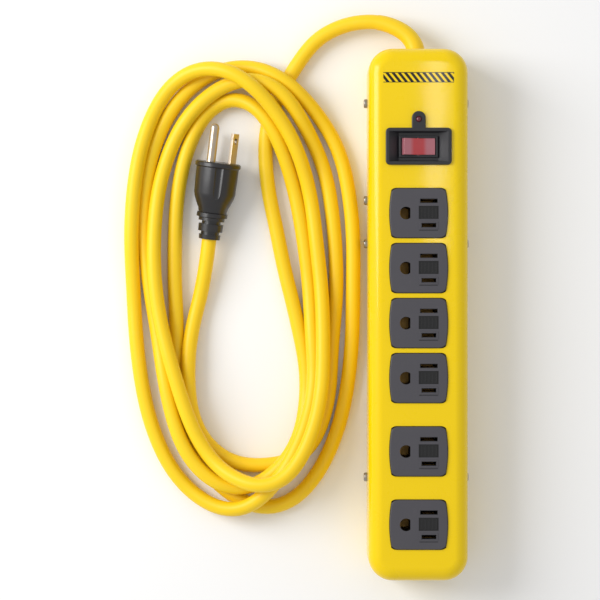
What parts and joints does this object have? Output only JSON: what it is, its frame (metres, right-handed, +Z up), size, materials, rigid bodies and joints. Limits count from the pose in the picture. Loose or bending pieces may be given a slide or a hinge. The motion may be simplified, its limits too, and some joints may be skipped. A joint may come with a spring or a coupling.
{
  "type": "power strip with cord",
  "caption": "Metal-cased power strip with grounded outlets, a guarded lighted rocker switch, and a coiled yellow mains cord that ends in a moulded grounded plug.",
  "frame": {"origin": "middle of the strip's back, on the surface that the strip and its cord lie on", "axes": "+Z up out of the outlets' faces, +Y along the strip towards the end that the cord leaves, +X across the strip; the cord's coil lies on the -X side"},
  "size_m": [0.1833, 0.2983, 0.0404],
  "materials": {
    "yellow_enamel": "gloss powder coat",
    "plated_steel": "zinc plated",
    "fibre_sheet": "matt",
    "outlet_plastic": "satin",
    "black_plastic": "satin",
    "rocker_red": "translucent gloss",
    "lamp_glass": "clear",
    "contact_brass": "bright",
    "lens_red": "gloss",
    "screw_steel": "bright zinc",
    "board_green": "satin",
    "nylon_white": "satin",
    "varistor_blue": "dipped epoxy",
    "lead_black": "gloss",
    "lead_white": "gloss",
    "lead_green": "gloss",
    "cord_jacket": "satin",
    "plug_moulding": "satin gloss",
    "pin_metal": "nickel plated"
  },
  "bodies": {
    "strip": {"top_shell": "yellow_enamel", "base_plate": "plated_steel", "insulating_liner": "fibre_sheet", "receptacle_1": "outlet_plastic", "receptacle_2": "outlet_plastic", "receptacle_3": "outlet_plastic", "receptacle_4": "outlet_plastic", "receptacle_5": "outlet_plastic", "receptacle_6": "outlet_plastic", "switch_guard": "black_plastic", "switch_body": "black_plastic", "switch_terminals": "contact_brass", "surge_lens": "lens_red", "case_screws": "screw_steel", "bonding_screw": "screw_steel", "bonding_nut": "screw_steel", "ring_terminal": "screw_steel", "line_bus": "contact_brass", "neutral_bus": "contact_brass", "ground_bus": "contact_brass", "surge_board": "board_green", "board_posts": "nylon_white", "varistors": "varistor_blue", "thermal_fuse": "nylon_white", "line_lead": "lead_black", "switched_lead": "lead_black", "neutral_lead": "lead_white", "ground_lead": "lead_green", "cord_bushing": "cord_jacket", "cord_inner_end": "cord_jacket", "cord_lead_in": "cord_jacket", "cord_coil": "cord_jacket", "cord_tail": "cord_jacket", "plug_body": "plug_moulding", "plug_bridge": "nylon_white", "plug_blades": "pin_metal", "plug_ground_pin": "pin_metal"},
    "rocker": {"rocker": "rocker_red", "pilot_lamp": "lamp_glass"}
  },
  "joints": [
    {"name": "rocker_press", "type": "hinge", "parent": "strip", "child": "rocker", "pos_m": [0, 0.0875, 0.0346], "axis": [0, -1, 0], "range_deg": [0, 22]}
  ]
}
